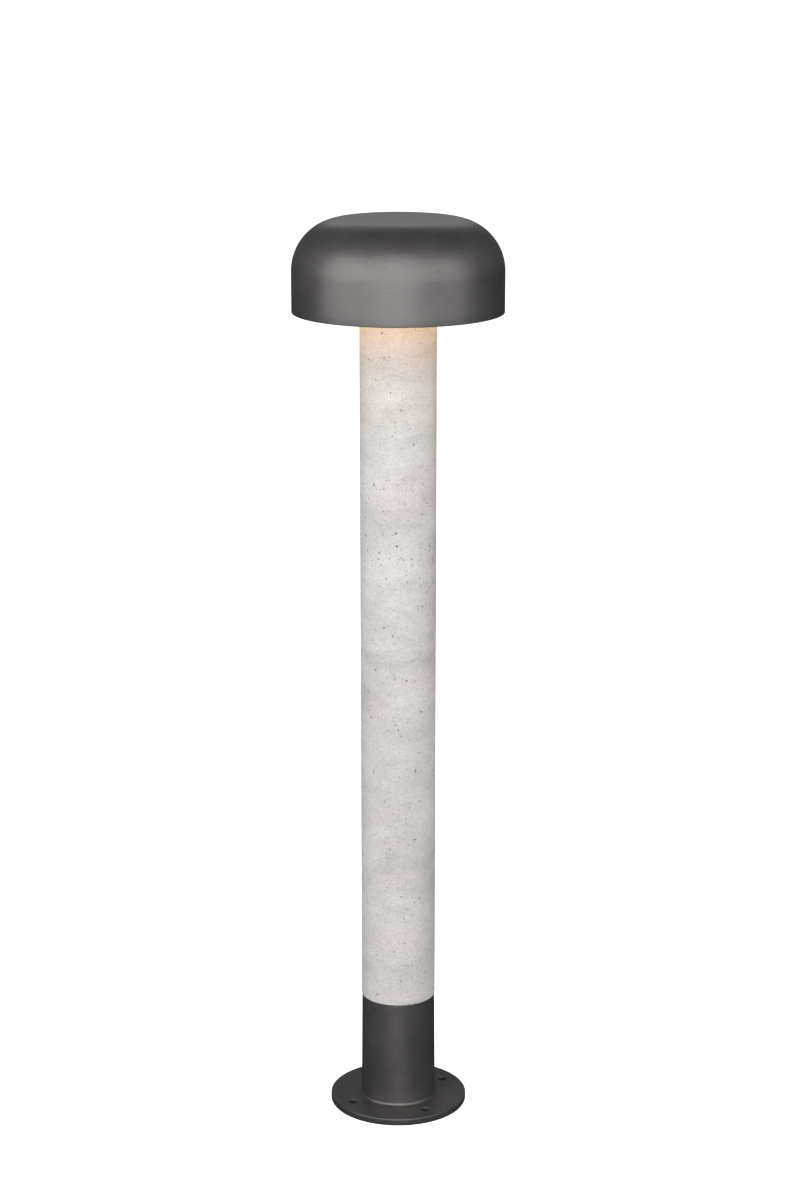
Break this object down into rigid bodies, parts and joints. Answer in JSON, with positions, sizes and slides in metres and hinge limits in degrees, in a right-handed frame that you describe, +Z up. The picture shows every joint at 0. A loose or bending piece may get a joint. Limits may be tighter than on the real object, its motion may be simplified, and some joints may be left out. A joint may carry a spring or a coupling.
{
  "type": "garden bollard lantern",
  "caption": "Round concrete garden bollard lantern: domed dark metal cap that lights the column from above, and a round bolt-down base.",
  "frame": {"origin": "on the ground, at the middle of the base flange's underside", "axes": "+Z up along the column; +X and +Y are level, with the flange's holes 31 degrees on from +X"},
  "size_m": [0.192, 0.192, 0.85],
  "materials": {
    "graphite_powder_coat": "matte",
    "cast_concrete": "matte",
    "bare_casting": "satin",
    "zinc_plated_steel": "satin",
    "stainless_steel": "satin",
    "black_rubber": "matte",
    "clear_silicone": "satin",
    "opal_acrylic": "satin",
    "white_plastic": "satin",
    "black_plastic": "matte",
    "white_board": "satin",
    "led_phosphor": "gloss"
  },
  "bodies": {
    "lantern": {"base_casting": "graphite_powder_coat", "foot_gasket": "black_rubber", "lower_washer": "zinc_plated_steel", "lower_locknut": "zinc_plated_steel", "connector_body": "black_plastic", "connector_gland_nut": "black_plastic", "connector_clip": "stainless_steel", "clip_screw": "stainless_steel", "earth_screw": "stainless_steel", "concrete_column": "cast_concrete", "core_tube": "zinc_plated_steel", "lower_bush": "black_rubber", "upper_bush": "black_rubber", "supply_lead": "black_rubber", "head_gasket": "black_rubber", "head_casting": "bare_casting", "led_board": "white_board", "led_1": "led_phosphor", "led_2": "led_phosphor", "led_3": "led_phosphor", "led_4": "led_phosphor", "led_5": "led_phosphor", "led_6": "led_phosphor", "led_7": "led_phosphor", "led_8": "led_phosphor", "led_9": "led_phosphor", "led_10": "led_phosphor", "led_11": "led_phosphor", "led_12": "led_phosphor", "board_screw_1": "stainless_steel", "board_screw_2": "stainless_steel", "board_screw_3": "stainless_steel", "outer_reflector": "white_plastic", "inner_reflector": "white_plastic", "outer_seal": "clear_silicone", "inner_seal": "clear_silicone", "diffuser": "opal_acrylic", "bezel": "graphite_powder_coat", "bezel_screw_1": "stainless_steel", "bezel_screw_2": "stainless_steel", "bezel_screw_3": "stainless_steel", "bezel_screw_4": "stainless_steel", "bezel_screw_5": "stainless_steel", "bezel_screw_6": "stainless_steel", "upper_washer": "zinc_plated_steel", "upper_locknut": "zinc_plated_steel", "driver": "black_plastic", "driver_screw_1": "stainless_steel", "driver_screw_2": "stainless_steel", "terminal_block": "white_plastic", "terminal_screw_1": "stainless_steel", "terminal_screw_2": "stainless_steel", "driver_lead": "black_rubber", "board_lead": "black_rubber", "board_bush": "black_rubber", "cap_screw_1": "stainless_steel", "cap_screw_2": "stainless_steel", "cap_screw_3": "stainless_steel"},
    "cap": {"cap": "graphite_powder_coat"}
  },
  "joints": [
    {"name": "cap_lift", "type": "slide", "parent": "lantern", "child": "cap", "axis": [0, 0, 1], "range_m": [0, 0.11]}
  ]
}
